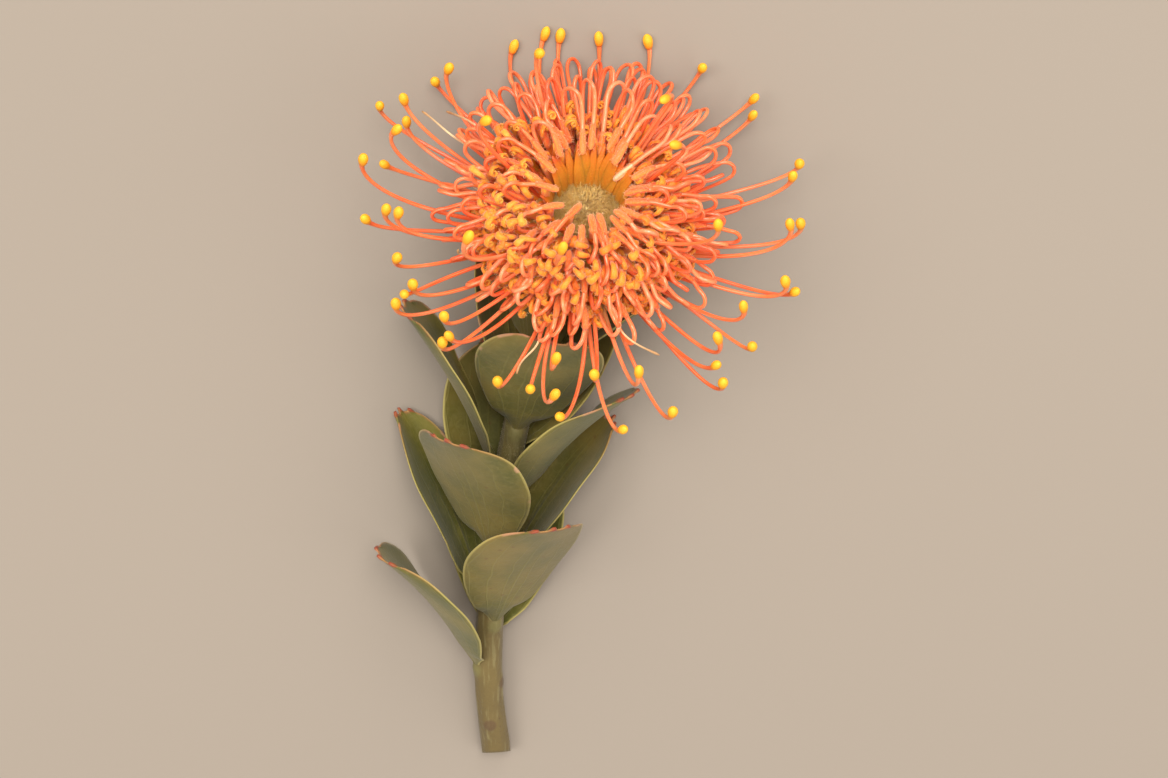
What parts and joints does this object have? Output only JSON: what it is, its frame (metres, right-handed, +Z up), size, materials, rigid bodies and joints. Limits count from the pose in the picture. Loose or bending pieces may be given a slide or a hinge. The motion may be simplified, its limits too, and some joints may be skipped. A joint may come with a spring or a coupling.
{
  "type": "pincushion protea flower",
  "caption": "Cut flower stem lying on its side: a domed head of looped styles ringed by sprung styles with knobbed tips, on a leafy stem with a slanted cut.",
  "frame": {"origin": "on the surface it lies on, below the middle of its bounding box", "axes": "+Y from the cut end of the stem to the flower head, +Z up from the surface, +X to the right when the head points away from the viewer"},
  "size_m": [0.1212, 0.2334, 0.0881],
  "materials": {
    "stem": "matt green-brown bark with fine down",
    "flower": "coral styles with a soft satin shine, downy orange tubes, golden tips",
    "leaf": "matt grey-green leathery leaf with a pale edge and red tooth tips"
  },
  "bodies": {
    "root": {"stem": "stem", "flower_head": "flower", "leaf_01": "leaf", "leaf_02": "leaf", "leaf_03": "leaf", "leaf_04": "leaf", "leaf_05": "leaf", "leaf_06": "leaf", "leaf_07": "leaf", "leaf_08": "leaf", "leaf_09": "leaf", "leaf_10": "leaf", "leaf_11": "leaf", "leaf_12": "leaf", "leaf_13": "leaf", "leaf_14": "leaf", "leaf_15": "leaf"}
  },
  "joints": []
}
